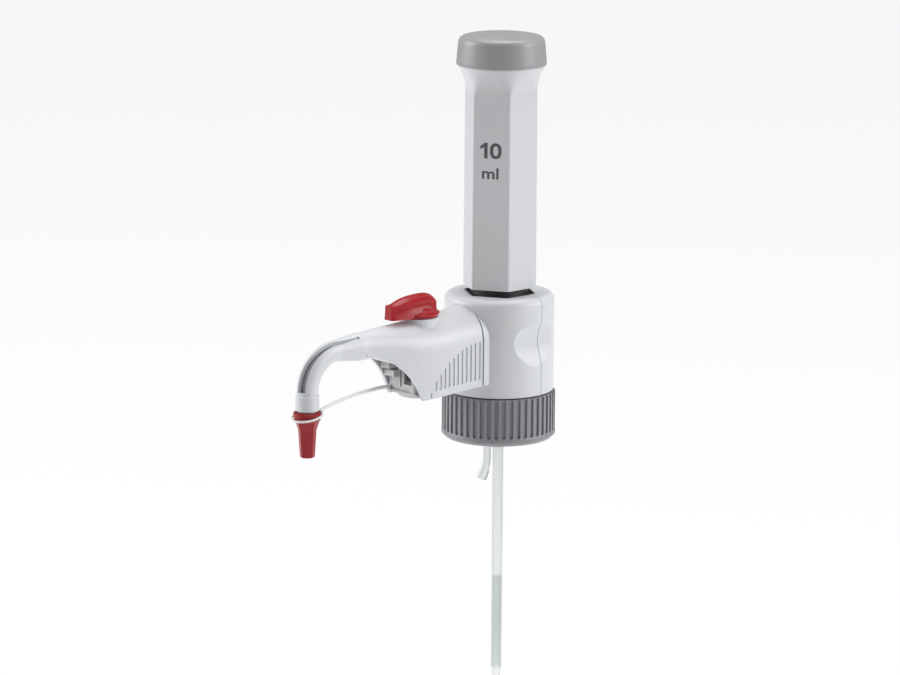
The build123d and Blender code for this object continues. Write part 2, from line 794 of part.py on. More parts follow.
with BuildPart() as discharge_ball:
    with Locations((-discharge_seat - ball_offset, 0, spout_z)):
        Sphere(discharge_ball_r)
discharge_ball.part.label = "discharge_ball"

# Recirculation valve: upright housing crossed by the discharge barrel, with a bore for the plug
with BuildPart() as valve_housing:
    with BuildSketch(Plane.XY.offset(valve_bottom)):
        with Locations((-valve_reach, 0)):
            Circle(valve_outer_r)
    extrude(amount=valve_top - valve_bottom)
    with BuildSketch(Plane.YZ.offset(-barrel_start_reach)):
        with Locations((0, spout_z)):
            Circle(barrel_r)
    extrude(amount=-2 * barrel_half_length)
    with BuildSketch(Plane.YZ.offset(-barrel_start_reach)):
        with Locations((0, spout_z)):
            Circle(channel_r)
    extrude(amount=-2 * barrel_half_length, mode=Mode.SUBTRACT)
    with BuildSketch(Plane.YZ.offset(-barrel_end_reach)):
        with Locations((0, spout_z)):
            Circle(tube_r + running_gap)
    extrude(amount=tube_insert, mode=Mode.SUBTRACT)
    with BuildSketch(Plane.XY.offset(valve_bottom + plug_bottom_wall)):
        with Locations((-valve_reach, 0)):
            Circle(plug_r + running_gap)
    extrude(amount=valve_top - valve_bottom, mode=Mode.SUBTRACT)
    with BuildSketch(Plane.XY.offset(valve_bottom)):
        with Locations((-valve_reach, 0)):
            Circle(return_line_r + running_gap)
    extrude(amount=plug_bottom_wall, mode=Mode.SUBTRACT)
valve_housing.part.label = "valve_housing"

with BuildPart() as valve_plug:
    with BuildSketch(Plane.XY.offset(valve_bottom + plug_bottom_wall + seat_gap)):
        with Locations((-valve_reach, 0)):
            Circle(plug_r)
    extrude(amount=valve_top - valve_bottom - plug_bottom_wall - seat_gap)
    with BuildSketch(Plane.XY.offset(valve_top)):
        with Locations((-valve_reach, 0)):
            Circle(stem_r)
            with Locations((0, stem_r)):
                Rectangle(2 * stem_r, 2 * stem_flat, mode=Mode.SUBTRACT)
    extrude(amount=stem_top - valve_top)
    with BuildSketch(Plane.YZ.offset(-valve_reach)):
        with Locations((0, spout_z)):
            Circle(channel_r)
    extrude(amount=plug_r, both=True, mode=Mode.SUBTRACT)
    with BuildSketch(Plane.XY.offset(valve_bottom + plug_bottom_wall)):
        with Locations((-valve_reach, 0)):
            Circle(channel_r)
    extrude(amount=spout_z - valve_bottom - plug_bottom_wall, mode=Mode.SUBTRACT)
valve_plug.part.label = "valve_plug"

# Return line: from under the valve, round one bend and back into the block
with BuildPart() as return_line:
    line_end = return_offset + return_tube_r + return_line_margin
    with BuildSketch(Plane.XY.offset(valve_bottom + plug_bottom_wall)):
        with Locations((-valve_reach, 0)):
            Circle(return_line_r)
            Circle(return_line_r - return_tube_wall, mode=Mode.SUBTRACT)
    extrude(amount=-(valve_bottom + plug_bottom_wall - return_line_z - return_line_bend))
    with BuildSketch(Plane.YZ.offset(-line_end)):
        with Locations((0, return_line_z)):
            Circle(return_line_r)
            Circle(return_line_r - return_tube_wall, mode=Mode.SUBTRACT)
    extrude(amount=-(valve_reach - return_line_bend - line_end))
    with BuildSketch(Plane.YZ.offset(-valve_reach + return_line_bend)):
        with Locations((0, return_line_z)):
            Circle(return_line_r)
            Circle(return_line_r - return_tube_wall, mode=Mode.SUBTRACT)
    corner = Axis((-valve_reach + return_line_bend, 0, return_line_z + return_line_bend), (0, 1, 0))
    revolve(axis=corner, revolution_arc=90)
return_line.part.label = "return_line"

# Air vent under the arm: neck from the block's side and a ribbed cap on it
with BuildPart() as vent_cap:
    vent_cap_start = block_body_r + vent_neck_length
    with BuildSketch(Plane.YZ.offset(-block_body_r + vent_insert)):
        with Locations((vent_side, vent_z)):
            Circle(vent_neck_r)
    extrude(amount=-(vent_neck_length + vent_insert))
    with BuildSketch(Plane.YZ.offset(-vent_cap_start)):
        with Locations((vent_side, vent_z)):
            Circle(vent_r)
            with PolarLocations(vent_r, vent_flutes):
                Circle(vent_flute_r, mode=Mode.SUBTRACT)
    extrude(amount=-vent_cap_length)
    chamfer(vent_cap.edges().group_by(Axis.X)[0], fine_bevel)
vent_cap.part.label = "vent_cap"

# Bracket under the valve: shelf, upright wall with a window and a slot, blocks on its front, and a foot
with BuildPart() as valve_bracket:
    shelf_top = valve_bottom - seat_gap
    shelf_back = valve_reach - bracket_shelf_back
    with BuildSketch(Plane.XY.offset(shelf_top)):
        with Locations((-(shelf_back + bracket_face) / 2, 0)):
            Rectangle(bracket_face - shelf_back, 2 * bracket_shelf_side)
        with Locations((-valve_reach, 0)):
            Circle(return_line_r + free_gap, mode=Mode.SUBTRACT)
    extrude(amount=-bracket_wall)
    with BuildSketch(Plane.YZ.offset(-bracket_face)):
        with BuildLine():
            Polyline(
                (-bracket_side, bracket_foot_top),
                (bracket_side, bracket_foot_top),
                (bracket_side, shelf_top - bracket_wall),
                (bracket_shelf_side, shelf_top),
                (-bracket_shelf_side, shelf_top),
                (-bracket_side, shelf_top - bracket_wall),
                close=True,
            )
        make_face()
        for from_side, to_side, low, high in (bracket_window, bracket_slot):
            with Locations(((from_side + to_side) / 2, (low + high) / 2)):
                Rectangle(to_side - from_side, high - low, mode=Mode.SUBTRACT)
    extrude(amount=bracket_wall)
    for from_side, to_side, low, high, length in bracket_blocks:
        with BuildSketch(Plane.YZ.offset(-bracket_face)):
            with Locations(((from_side + to_side) / 2, (low + high) / 2)):
                Rectangle(to_side - from_side, high - low)
        extrude(amount=-length)
    with BuildSketch(Plane.XY.offset(bracket_foot_z)):
        with Locations((-(bracket_foot_back + bracket_foot_front) / 2, 0)):
            Rectangle(bracket_foot_front - bracket_foot_back, 2 * bracket_foot_side)
    extrude(amount=bracket_foot_thick)
    post_height = bracket_blocks[-1][2] - bracket_foot_top
    with BuildSketch(Plane.XY.offset(bracket_foot_top)):
        with Locations((-bracket_face, -bracket_post_side)):
            Circle(bracket_post_r)
    extrude(amount=post_height)
valve_bracket.part.label = "valve_bracket"

# Cutter for the side grooves: upright slots, kept clear of the shroud's drawn-in form
with BuildPart() as groove_floor_form:
    cover_form(side_groove_depth, 0)

with BuildPart() as side_grooves:
    for index in range(side_groove_count):
        reach = side_groove_first + index * side_groove_pitch
        top = arch_top - arch_half_width - side_groove_drop * (index / (side_groove_count - 1)) ** 2
        foot = shroud_root_bottom - shroud_slope * (reach - arch_reach) + side_groove_margin
        with BuildSketch(Plane.XZ):
            with Locations((-reach, (top + foot) / 2)):
                SlotOverall(top - foot, side_groove_width, rotation=90)
        extrude(amount=cover_root_width + 1, both=True)
    # Notch of the snap hook at the end of the row, open at the shroud's bottom edge
    with BuildSketch(Plane.XZ):
        with Locations((-side_groove_first - side_groove_count * side_groove_pitch, shroud_front_bottom)):
            Rectangle(latch_notch_width, 2 * latch_notch_height)
    extrude(amount=cover_root_width + 1, both=True)
    add(groove_floor_form.part, mode=Mode.SUBTRACT)

# Inside of the shroud, closed at the front where the spout's root begins
with BuildPart() as cover_hollow:
    cover_form(cover_wall, seam_gap + 1)
    with BuildSketch(Plane.YZ.offset(-spout_root_reach - cover_wall)):
        with Locations((0, spout_z)):
            Rectangle(4 * spout_root_r, 20 * spout_root_r)
    extrude(amount=-cover_tip_reach, mode=Mode.SUBTRACT)

# Slot over the inner tube, from a small hole along the outside of the bend and down to the ferrule.
# It lies a little to one side and is narrow where it starts.
with BuildPart() as spout_slot:
    slot_start_reach = valve_reach + slot_past_valve
    with BuildSketch(Plane.XZ):
        with BuildLine():
            slot_bend = CenterArc((-nozzle_bend_reach, vertical_top), bend_r, 90, 90)
            slot_front = nozzle_reach + 2 * spout_r
            Polyline(
                slot_bend @ 1,
                (-nozzle_reach, spout_end_z + slot_end_margin),
                (-slot_front, spout_end_z + slot_end_margin),
                (-slot_front, spout_z + 2 * spout_r),
                (-slot_start_reach, spout_z + 2 * spout_r),
                (-slot_start_reach, spout_z),
                slot_bend @ 0,
            )
        make_face()
    extrude(amount=2 * spout_r, both=True)
    with BuildSketch(Plane.XY.offset(spout_end_z)):
        with BuildLine():
            Polyline(
                (-slot_start_reach, -slot_start_side - slot_start_half_width),
                (-slot_start_reach, -slot_start_side + slot_start_half_width),
                (-nozzle_reach, -slot_end_side + slot_half_width),
                (-slot_front, -slot_end_side + slot_half_width),
                (-slot_front, -slot_end_side - slot_half_width),
                (-nozzle_reach, -slot_end_side - slot_half_width),
                close=True,
            )
        make_face()
    extrude(amount=vertical_top + 3 * spout_r, mode=Mode.INTERSECT)

# Arm cover: lofted shroud, column under the lever and spout, in one moulding
with BuildPart() as arm_cover:
    cover_form(0, 0)
    # Sloping bottom edge and round cut-out at the front
    with BuildSketch(Plane.XZ):
        with BuildLine():
            front_start = degrees(asin((shroud_front_bottom - front_arc_z) / front_arc_r))
            front_sweep = front_arc_end - front_start
            front = CenterArc((-front_arc_reach, front_arc_z), front_arc_r, front_start, front_sweep)
            Polyline(
                front @ 1,
                (-spout_merge_reach, spout_z),
                (-cover_tip_reach - 1, spout_z),
                (-cover_tip_reach - 1, -1),
                (-arch_reach + 1, -1),
                (-arch_reach + 1, shroud_root_bottom),
                front @ 0,
            )
        make_face()
    extrude(amount=cover_root_width + 1, both=True, mode=Mode.SUBTRACT)
    with BuildSketch(Plane.XY.offset(spout_z)):
        with Locations((-valve_reach, 0)):
            Circle(column_r)
    extrude(amount=column_top - spout_z)
    add(side_grooves.part, mode=Mode.SUBTRACT)
    add(cover_hollow.part, mode=Mode.SUBTRACT)
    spout_bar(spout_root_reach, spout_root_r, spout_r, spout_end_z)
    spout_bar(spout_root_reach - 1, spout_bore_r, spout_bore_r, spout_end_z, Mode.SUBTRACT)
    add(spout_slot.part, mode=Mode.SUBTRACT)
    with BuildSketch(Plane.XY.offset(spout_z)):
        with Locations((-slot_start_reach, -slot_start_side)):
            Circle(slot_hole_r)
    extrude(amount=spout_root_r, mode=Mode.SUBTRACT)
    # Bore for the valve, and the stem's hole in the column's top
    with BuildSketch(Plane.XY.offset(valve_bottom)):
        with Locations((-valve_reach, 0)):
            Circle(valve_outer_r + seat_gap)
    extrude(amount=valve_top + seat_gap - valve_bottom, mode=Mode.SUBTRACT)
    with BuildSketch(Plane.XY.offset(valve_top)):
        with Locations((-valve_reach, 0)):
            Circle(stem_r + free_gap)
    extrude(amount=column_top - valve_top, mode=Mode.SUBTRACT)
    # Round seat against the housing
    with BuildSketch(Plane.XY):
        Circle(housing_r + seat_gap)
    extrude(amount=housing_top, mode=Mode.SUBTRACT)
arm_cover.part.label = "arm_cover"

# Floor of the shroud: thin sloping plate between the walls, with a round nose
with BuildPart() as floor_plan:
    rear_side = cover_root_width - cover_wall - floor_side_gap
    front_side = cover_sections[1][1] - cover_wall - floor_side_gap
    corner_reach = shroud_front_reach - floor_corner_back
    with BuildSketch(Plane.XY):
        with BuildLine():
            nose = ThreePointArc(
                (-corner_reach, front_side),
                (-shroud_front_reach - floor_nose, 0),
                (-corner_reach, -front_side),
            )
            Polyline(nose @ 1, (-arch_reach, -rear_side), (-arch_reach, rear_side), nose @ 0)
        make_face()
        Circle(housing_r + seat_gap, mode=Mode.SUBTRACT)
    extrude(amount=shroud_root_bottom + 2 * floor_thick)

with BuildPart() as arm_floor:
    floor_front = shroud_front_reach + floor_nose
    front_drop = shroud_slope * (floor_front - arch_reach)
    with BuildSketch(Plane.XZ):
        with BuildLine():
            Polyline(
                (-arch_reach, shroud_root_bottom),
                (-arch_reach, shroud_root_bottom + floor_thick),
                (-floor_front, shroud_root_bottom + floor_thick - front_drop),
                (-floor_front, shroud_root_bottom - front_drop),
                close=True,
            )
        make_face()
    extrude(amount=rear_side + 1, both=True)
    add(floor_plan.part, mode=Mode.INTERSECT)
arm_floor.part.label = "arm_floor"

# Inner discharge tube, from the valve through the spout, with a thinner tip below a shoulder
with BuildPart() as discharge_tube:
    tube_start = barrel_end_reach - tube_insert
    tube_shoulder_z = spout_end_z - ferrule_height + seat_gap
    spout_bar(tube_start, tube_r, tube_r, tube_shoulder_z)
    with BuildSketch(Plane.XY.offset(tip_z)):
        with Locations((-nozzle_reach, 0)):
            Circle(tube_tip_r)
    extrude(amount=tube_shoulder_z - tip_z)
    spout_bar(tube_start, tube_bore_r, tube_bore_r, tip_z, Mode.SUBTRACT)
discharge_tube.part.label = "discharge_tube"

# Ferrule at the spout's end, with the spigot that the cap screws onto
with BuildPart() as tip_ferrule:
    ferrule_bottom = spout_end_z - ferrule_height
    spigot_end = ferrule_bottom - ferrule_spigot_length
    with BuildSketch(Plane.XY.offset(ferrule_bottom)):
        with Locations((-nozzle_reach, 0)):
            Circle(ferrule_r)
    extrude(amount=ferrule_height)
    chamfer(tip_ferrule.edges().filter_by(GeomType.CIRCLE), ferrule_bevel)
    with BuildSketch(Plane.XY.offset(spigot_end)):
        with Locations((-nozzle_reach, 0)):
            Circle(ferrule_spigot_r)
    extrude(amount=ferrule_spigot_length)
    with BuildSketch(Plane.XY.offset(spigot_end)):
        with Locations((-nozzle_reach, 0)):
            Circle(tube_tip_r + running_gap)
    extrude(amount=ferrule_spigot_length, mode=Mode.SUBTRACT)
    with BuildSketch(Plane.XY.offset(ferrule_bottom)):
        with Locations((-nozzle_reach, 0)):
            Circle(tube_r + running_gap)
    extrude(amount=ferrule_height, mode=Mode.SUBTRACT)
tip_ferrule.part.label = "tip_ferrule"

# Spout cap: round rim, eight-sided shoulder and tip, bore stepped for the spigot and the tube
with BuildPart() as spout_cap:
    cap_start_z = ferrule_bottom - cap_seat_gap
    with BuildSketch(Plane.XZ):
        with BuildLine():
            Polyline(
                (-nozzle_reach, cap_shoulder_z),
                (-nozzle_reach - cap_shoulder_r, cap_shoulder_z),
                (-nozzle_reach - cap_waist_r, cap_shoulder_z + edge_bevel),
                (-nozzle_reach - cap_waist_r, cap_start_z - cap_rim_low),
                (-nozzle_reach - cap_rim_outer_r, cap_start_z - cap_rim_low + fine_bevel),
                (-nozzle_reach - cap_rim_outer_r, cap_start_z - edge_bevel),
                (-nozzle_reach - cap_rim_outer_r + edge_bevel, cap_start_z),
                (-nozzle_reach, cap_start_z),
                close=True,
            )
        make_face()
    revolve(axis=Axis((-nozzle_reach, 0, 0), (0, 0, 1)))
    for upper, lower in (
        ((cap_shoulder_z, cap_shoulder_r), (cap_neck_z, cap_neck_r)),
        ((cap_neck_z, cap_neck_r), (cap_tip_z, cap_tip_r)),
    ):
        for height, radius in (upper, lower):
            with BuildSketch(Plane.XY.offset(height)):
                with Locations((-nozzle_reach, 0)):
                    RegularPolygon(radius, cap_flats)
        loft()
    chamfer(spout_cap.edges().group_by(Axis.Z)[0], fine_bevel)
    with BuildSketch(Plane.XY.offset(spigot_end - free_gap)):
        with Locations((-nozzle_reach, 0)):
            Circle(ferrule_spigot_r + thread_gap)
    extrude(amount=cap_start_z - spigot_end + free_gap, mode=Mode.SUBTRACT)
    with BuildSketch(Plane.XY.offset(tip_z - cap_wall_at_tip)):
        with Locations((-nozzle_reach, 0)):
            Circle(tube_tip_r + free_gap)
    extrude(amount=cap_start_z - tip_z, mode=Mode.SUBTRACT)
spout_cap.part.label = "spout_cap"

# Strap: ring round the cap's rim with a lug, flat band, and the peg that holds its other end
with BuildPart() as strap_ring:
    tilt = radians(ring_tilt)
    ring_middle = Vector(-nozzle_reach, 0, ring_z)
    ring_plane = Plane(ring_middle, x_dir=(cos(tilt), 0, sin(tilt)), z_dir=(-sin(tilt), 0, cos(tilt)))
    with BuildSketch(ring_plane.offset(-ring_height / 2)):
        Circle(ring_inner_r + ring_wall)
        with Locations((ring_inner_r + ring_wall + (lug_length - ring_wall) / 2, 0)):
            Rectangle(lug_length + ring_wall, 2 * strap_thick)
        Circle(ring_inner_r, mode=Mode.SUBTRACT)
    extrude(amount=ring_height)
strap_ring.part.label = "strap_ring"

with BuildPart() as cap_strap:
    lug_reach = (ring_inner_r + ring_wall + lug_length) * cos(tilt)
    strap_start = Vector(-nozzle_reach + lug_reach + seat_gap, 0, ring_z + lug_reach * tan(tilt))
    strap_end = Vector(-bracket_foot_front + seat_gap, anchor_side, bracket_foot_top + strap_height / 2)
    strap_middle = (strap_start + strap_end) * 0.5 + Vector(0, 0, 2 * strap_rise)
    with BuildLine() as strap_line:
        Bezier(strap_start, strap_middle, strap_end)
    strap_run = strap_line.line % 0
    with BuildSketch(Plane(strap_start, x_dir=strap_run.cross(Vector(0, 0, 1)), z_dir=strap_run)):
        Rectangle(strap_thick, strap_height)
    sweep()
cap_strap.part.label = "cap_strap"

with BuildPart() as strap_anchor:
    with BuildSketch(Plane.XY.offset(bracket_foot_top + running_gap)):
        with Locations((-bracket_foot_front + 2 * seat_gap + anchor_length / 2, anchor_side)):
            Rectangle(anchor_length, 2 * strap_thick)
    extrude(amount=strap_height)
strap_anchor.part.label = "strap_anchor"

# Lever: bevelled disc on the column and a crowned grip that flares into it and narrows to its nose
with BuildPart() as valve_lever:
    with BuildSketch(Plane.XZ):
        with BuildLine():
            rim = Polyline(
                (-valve_reach, lever_bottom),
                (-valve_reach - disc_foot_r, lever_bottom),
                (-valve_reach - disc_r, lever_bottom + disc_rim_height),
                (-valve_reach - disc_r + disc_rim_edge, lever_bottom + disc_rim_height + disc_rim_edge),
            )
            neck = ThreePointArc(
                rim @ 1,
                (-valve_reach - disc_flare_r, lever_bottom + disc_flare_height),
                (-valve_reach - disc_neck_r, lever_bottom + disc_neck_height),
            )
            Polyline(neck @ 1, (-valve_reach, lever_bottom + disc_neck_height), rim @ 0)
        make_face()
    revolve(axis=Axis((-valve_reach, 0, 0), (0, 0, 1)))
    for past_valve, foot_width, half_width, crown, rise in grip_sections:
        foot = lever_bottom + grip_foot_gap
        edge = crown - rise
        waist = half_width + (foot_width - half_width) * grip_waist_share
        waist_z = foot + (edge - foot) * grip_waist_height
        with BuildSketch(Plane.YZ.offset(-valve_reach - past_valve)):
            with BuildLine():
                Line((-foot_width, foot), (foot_width, foot))
                ThreePointArc((foot_width, foot), (waist, waist_z), (half_width, edge))
                ThreePointArc((half_width, edge), (0, crown), (-half_width, edge))
                ThreePointArc((-half_width, edge), (-waist, waist_z), (-foot_width, foot))
            make_face()
    loft()
    with BuildSketch(Plane.XY.offset(lever_bottom)):
        with Locations((-valve_reach, 0)):
            Circle(stem_r + running_gap)
    extrude(amount=stem_engagement + seat_gap, mode=Mode.SUBTRACT)
valve_lever.part.label = "valve_lever"

pieces = (
    thread_collar,
    valve_block,
    housing_front_shell,
    housing_rear_shell,
    guide_ring,
    glass_cylinder,
    cylinder_jacket,
    piston_rod,
    piston_head,
    piston_seal,
    lift_sleeve,
    calibration_nut,
    top_cap,
    fill_valve_body,
    fill_valve_seal,
    fill_ball,
    fill_tube_upper,
    fill_tube_lower,
    return_tube,
    discharge_valve_body,
    discharge_ball,
    valve_housing,
    valve_plug,
    valve_lever,
    return_line,
    vent_cap,
    valve_bracket,
    arm_cover,
    arm_floor,
    discharge_tube,
    tip_ferrule,
    spout_cap,
    strap_ring,
    cap_strap,
    strap_anchor,
)
for piece in pieces:
    export_step(piece.part, f"parts/{piece.part.label}.step")
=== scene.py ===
import bmesh
import bpy
from math import cos, pi, radians, sin
from mathutils import Matrix, Vector


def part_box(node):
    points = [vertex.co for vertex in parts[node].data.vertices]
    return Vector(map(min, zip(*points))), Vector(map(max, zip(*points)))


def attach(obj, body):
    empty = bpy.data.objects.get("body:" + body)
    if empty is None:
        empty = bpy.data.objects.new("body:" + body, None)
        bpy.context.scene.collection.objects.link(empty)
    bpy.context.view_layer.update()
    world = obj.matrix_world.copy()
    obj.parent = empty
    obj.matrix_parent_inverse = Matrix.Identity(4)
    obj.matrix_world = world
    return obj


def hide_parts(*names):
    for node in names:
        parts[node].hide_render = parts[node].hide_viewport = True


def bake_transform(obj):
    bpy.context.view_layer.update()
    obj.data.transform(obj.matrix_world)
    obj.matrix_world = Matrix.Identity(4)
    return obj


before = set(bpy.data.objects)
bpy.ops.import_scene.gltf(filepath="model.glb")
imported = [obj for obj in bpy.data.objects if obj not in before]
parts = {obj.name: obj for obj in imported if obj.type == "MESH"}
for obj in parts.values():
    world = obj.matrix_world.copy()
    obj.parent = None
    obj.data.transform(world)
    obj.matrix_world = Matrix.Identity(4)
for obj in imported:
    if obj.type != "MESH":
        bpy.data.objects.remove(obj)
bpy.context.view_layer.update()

# Camera: a long lens, a little above the object's middle and looking down on it.
# Its view runs across the arm, which points to the left and slightly towards it.
view_turn = radians(-43.2)
across = Vector((cos(view_turn), sin(view_turn), 0))
away = Vector((-sin(view_turn), cos(view_turn), 0))
camera_distance = 1.8
camera_height = 0.43455
camera_heading = radians(-0.7387543)
camera_pitch = radians(12.1571246)
camera_roll = radians(0.3646777)
look = (
    across * sin(camera_heading) * cos(camera_pitch)
    + away * cos(camera_heading) * cos(camera_pitch)
    + Vector((0, 0, -sin(camera_pitch)))
)
level_right = look.cross(Vector((0, 0, 1))).normalized()
level_up = level_right.cross(look)
right = level_right * cos(camera_roll) + level_up * sin(camera_roll)
up = level_up * cos(camera_roll) - level_right * sin(camera_roll)
lens = bpy.data.cameras.new("camera")
lens.lens = 155.58
lens.sensor_width = 36
lens.clip_end = 20
camera = bpy.data.objects.new("camera", lens)
bpy.context.scene.collection.objects.link(camera)
camera.matrix_world = Matrix((right, up, -look)).transposed().to_4x4()
camera.location = away * -camera_distance + Vector((0, 0, camera_height))
bpy.context.scene.camera = camera


# Floor: one wide sheet of white studio paper under the filling tube, which it lights softly from below.
# To the camera most of it shines as plain white, and the rest keeps the object's shadow.
def add_piece(name, shape, finish):
    """Turns a finished shape into an object with one material, and frees the shape."""
    bmesh.ops.recalc_face_normals(shape, faces=shape.faces)
    mesh = bpy.data.meshes.new(name)
    shape.to_mesh(mesh)
    shape.free()
    mesh.materials.append(finish)
    piece = bpy.data.objects.new(name, mesh)
    bpy.context.scene.collection.objects.link(piece)
    return piece


floor_z = -0.215
floor_side = 12
paper_white = 0.85
shadow_share = 0.1
paper = bpy.data.materials.new("studio_paper")
paper.use_nodes = True
paper_nodes, paper_links = paper.node_tree.nodes, paper.node_tree.links
paper_matt = paper_nodes["Principled BSDF"]
paper_matt.inputs["Base Color"].default_value = (paper_white, paper_white, paper_white, 1)
paper_matt.inputs["Roughness"].default_value = 0.9
paper_glow = paper_nodes.new("ShaderNodeEmission")
paper_glow.inputs["Strength"].default_value = 1
paper_seen = paper_nodes.new("ShaderNodeMixShader")
paper_seen.inputs["Fac"].default_value = shadow_share
paper_links.new(paper_glow.outputs["Emission"], paper_seen.inputs[1])
paper_links.new(paper_matt.outputs["BSDF"], paper_seen.inputs[2])
paper_path = paper_nodes.new("ShaderNodeLightPath")
paper_choice = paper_nodes.new("ShaderNodeMixShader")
paper_links.new(paper_path.outputs["Is Camera Ray"], paper_choice.inputs["Fac"])
paper_links.new(paper_matt.outputs["BSDF"], paper_choice.inputs[1])
paper_links.new(paper_seen.outputs["Shader"], paper_choice.inputs[2])
paper_links.new(paper_choice.outputs["Shader"], paper_nodes["Material Output"].inputs["Surface"])
sheet = bmesh.new()
bmesh.ops.create_grid(sheet, x_segments=1, y_segments=1, size=floor_side / 2)
bmesh.ops.translate(sheet, verts=sheet.verts, vec=(0, 0, floor_z))
add_piece("floor", sheet, paper)

# Studio light: an even pale surround, two large soft lamps well to the sides and one from above.
# The sides of the object are the brightest, and what faces the camera is a little darker.
surround_strength = 0.22
world = bpy.data.worlds.new("studio")
bpy.context.scene.world = world
world.use_nodes = True
world_nodes, world_links = world.node_tree.nodes, world.node_tree.links
surround = world_nodes["Background"]
surround.inputs["Color"].default_value = (1, 1, 1, 1)
surround.inputs["Strength"].default_value = surround_strength
backdrop = world_nodes.new("ShaderNodeBackground")
backdrop.inputs["Color"].default_value = (1, 1, 1, 1)
backdrop.inputs["Strength"].default_value = 1
world_choice = world_nodes.new("ShaderNodeMixShader")
world_path = world_nodes.new("ShaderNodeLightPath")
world_links.new(world_path.outputs["Is Camera Ray"], world_choice.inputs["Fac"])
world_links.new(surround.outputs["Background"], world_choice.inputs[1])
world_links.new(backdrop.outputs["Background"], world_choice.inputs[2])
world_links.new(world_choice.outputs["Shader"], world_nodes["World Output"].inputs["Surface"])
object_middle = Vector((-0.03, 0, 0.06))
for name, aside, back, height, width, power in (
    ("lamp_left", -1.7, 0.15, 0.7, 1.1, 26),
    ("lamp_right", 1.65, -0.4, 0.7, 1.1, 22),
    ("lamp_top", 0.1, 0.3, 1.6, 1.2, 22),
):
    lamp_data = bpy.data.lights.new(name, "AREA")
    lamp_data.shape = "SQUARE"
    lamp_data.size = width
    lamp_data.energy = power
    lamp = bpy.data.objects.new(name, lamp_data)
    bpy.context.scene.collection.objects.link(lamp)
    lamp.location = across * aside + away * back + Vector((0, 0, height))
    lamp.rotation_mode = "QUATERNION"
    lamp.rotation_quaternion = (object_middle - lamp.location).to_track_quat("-Z", "Y")
bpy.context.scene.view_settings.view_transform = "Standard"


# Screw collar: mid-grey polypropylene, ribbed for the fingers, with the bottle's thread in its bore.
# It turns freely on the block, which it holds down on the bottle's lip.
def moulded_plastic(name, colour, darker, roughness, grain=0.04, sheen=0.5):
    """Opaque moulded plastic: its shade drifts a little, and its mould has left a fine grain."""
    drift_scale = 45
    grain_scale = 3500
    grain_depth = 0.0001
    uneven = 0.05
    finish = bpy.data.materials.new(name)
    finish.use_nodes = True
    nodes, links = finish.node_tree.nodes, finish.node_tree.links
    shader = nodes["Principled BSDF"]
    shader.inputs["IOR"].default_value = 1.48
    shader.inputs["Specular IOR Level"].default_value = sheen
    place = nodes.new("ShaderNodeTexCoord")
    drift = nodes.new("ShaderNodeTexNoise")
    drift.inputs["Scale"].default_value = drift_scale
    drift.inputs["Detail"].default_value = 3
    links.new(place.outputs["Object"], drift.inputs["Vector"])
    shade = nodes.new("ShaderNodeMix")
    shade.data_type = "RGBA"
    shade.inputs[6].default_value = (*[part * darker for part in colour], 1)
    shade.inputs[7].default_value = (*colour, 1)
    links.new(drift.outputs["Fac"], shade.inputs["Factor"])
    links.new(shade.outputs[2], shader.inputs["Base Color"])
    spread = nodes.new("ShaderNodeMapRange")
    spread.inputs["To Min"].default_value = roughness - uneven
    spread.inputs["To Max"].default_value = roughness + uneven
    links.new(drift.outputs["Fac"], spread.inputs["Value"])
    links.new(spread.outputs["Result"], shader.inputs["Roughness"])
    spark = nodes.new("ShaderNodeTexNoise")
    spark.inputs["Scale"].default_value = grain_scale
    spark.inputs["Detail"].default_value = 2
    links.new(place.outputs["Object"], spark.inputs["Vector"])
    skin = nodes.new("ShaderNodeBump")
    skin.inputs["Strength"].default_value = grain
    skin.inputs["Distance"].default_value = grain_depth
    links.new(spark.outputs["Fac"], skin.inputs["Height"])
    links.new(skin.outputs["Normal"], shader.inputs["Normal"])
    return finish


def finish_parts(finish, *names):
    """Gives a finish to the model's own parts."""
    for name in names:
        parts[name].data.materials.clear()
        parts[name].data.materials.append(finish)


def helical_ridge(radius, height, crest, root, start, pitch, turns):
    """Screw thread on a round wall: a tapered ridge wound round the upright axis.
    A negative height puts it on the inside of the wall."""
    steps_per_turn = 48
    thread = bmesh.new()
    corners = [
        thread.verts.new((radius, 0, start - root / 2)),
        thread.verts.new((radius + height, 0, start - crest / 2)),
        thread.verts.new((radius + height, 0, start + crest / 2)),
        thread.verts.new((radius, 0, start + root / 2)),
    ]
    profile = thread.faces.new(corners)
    bmesh.ops.spin(
        thread,
        geom=[profile],
        axis=(0, 0, 1),
        angle=2 * pi * turns,
        steps=round(steps_per_turn * turns),
        dvec=(0, 0, pitch / steps_per_turn),
    )
    return thread


collar_grey = moulded_plastic("collar_grey", (0.245, 0.25, 0.265), 0.93, 0.4)
finish_parts(collar_grey, "thread_collar")
collar_bore_r = 0.0229
ridge_sunk = 0.0001
ridge_height = 0.0016
ridge_crest = 0.0009
ridge_root = 0.0024
ridge_start_z = 0.0028
bottle_pitch = 0.004
ridge_turns = 1.6
ridge = helical_ridge(
    collar_bore_r + ridge_sunk,
    -ridge_height,
    ridge_crest,
    ridge_root,
    ridge_start_z,
    bottle_pitch,
    ridge_turns,
)
bore_thread = add_piece("bore_thread", ridge, collar_grey)
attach(bore_thread, "collar")

# Valve block: off-white polypropylene that carries every other piece and closes the bottle's mouth.
# It is seen from below and, with the valve and its bracket, through the arm.
block_plastic = moulded_plastic("block_plastic", (0.6, 0.61, 0.62), 0.95, 0.4)
finish_parts(block_plastic, "valve_block", "valve_housing", "discharge_valve_body", "vent_cap")
finish_parts(moulded_plastic("bracket_plastic", (0.5, 0.51, 0.52), 0.94, 0.42), "valve_bracket")

